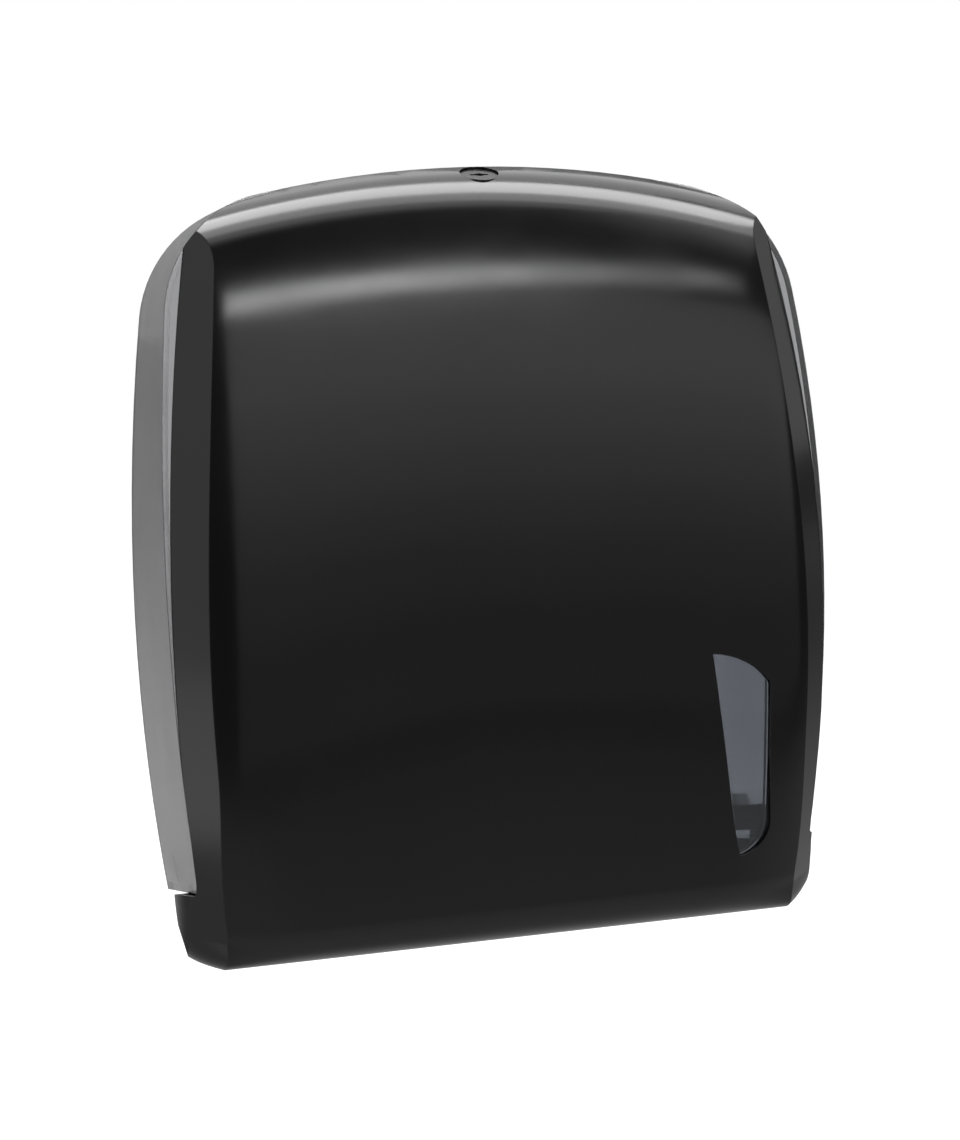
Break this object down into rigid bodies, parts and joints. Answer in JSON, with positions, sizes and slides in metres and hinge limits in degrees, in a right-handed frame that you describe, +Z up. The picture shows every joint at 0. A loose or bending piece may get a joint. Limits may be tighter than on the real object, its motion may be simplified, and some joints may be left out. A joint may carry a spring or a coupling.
{
  "type": "folded towel dispenser",
  "caption": "Wall-mounted dispenser for folded paper towels: smoked wall body, curved black cover that swings down on hinge pins, level window, quarter-turn lock and towel slot below.",
  "frame": {"origin": "centre of the four wall screws, on the wall plane", "axes": "+Z up, +Y into the wall, the front faces -Y, +X to the right seen from the front"},
  "size_m": [0.299, 0.134, 0.3445],
  "materials": {
    "smoked_plastic": "translucent smoked, glossy",
    "black_plastic": "satin black",
    "dark_plastic": "fine matt",
    "window_plastic": "translucent smoked, glossy",
    "bush_plastic": "natural",
    "lock_plastic": "glossy black",
    "steel": "zinc plated"
  },
  "bodies": {
    "wall_case": {"wall_body": "smoked_plastic", "outlet_tray": "dark_plastic", "outlet_throat": "dark_plastic", "tray_screws": "steel", "left_hinge_pin": "steel", "right_hinge_pin": "steel", "strike_plate": "steel", "strike_screws": "steel"},
    "cover": {"front_cover": "black_plastic", "level_window": "window_plastic", "window_retainer": "dark_plastic", "retainer_screws": "steel", "left_hinge_bush": "bush_plastic", "right_hinge_bush": "bush_plastic", "lock_housing": "dark_plastic", "housing_screws": "steel"},
    "lock": {"lock_plug": "lock_plastic", "lock_cam": "steel", "cam_washer": "steel", "cam_screw": "steel"}
  },
  "joints": [
    {"name": "cover_hinge", "type": "hinge", "parent": "wall_case", "child": "cover", "pos_m": [0, -0.048, -0.144], "axis": [1, 0, 0], "range_deg": [0, 80]},
    {"name": "lock_turn", "type": "hinge", "parent": "cover", "child": "lock", "pos_m": [0, -0.06188, 0.16874], "axis": [0, -0.2079, 0.9781], "range_deg": [0, 90]}
  ]
}
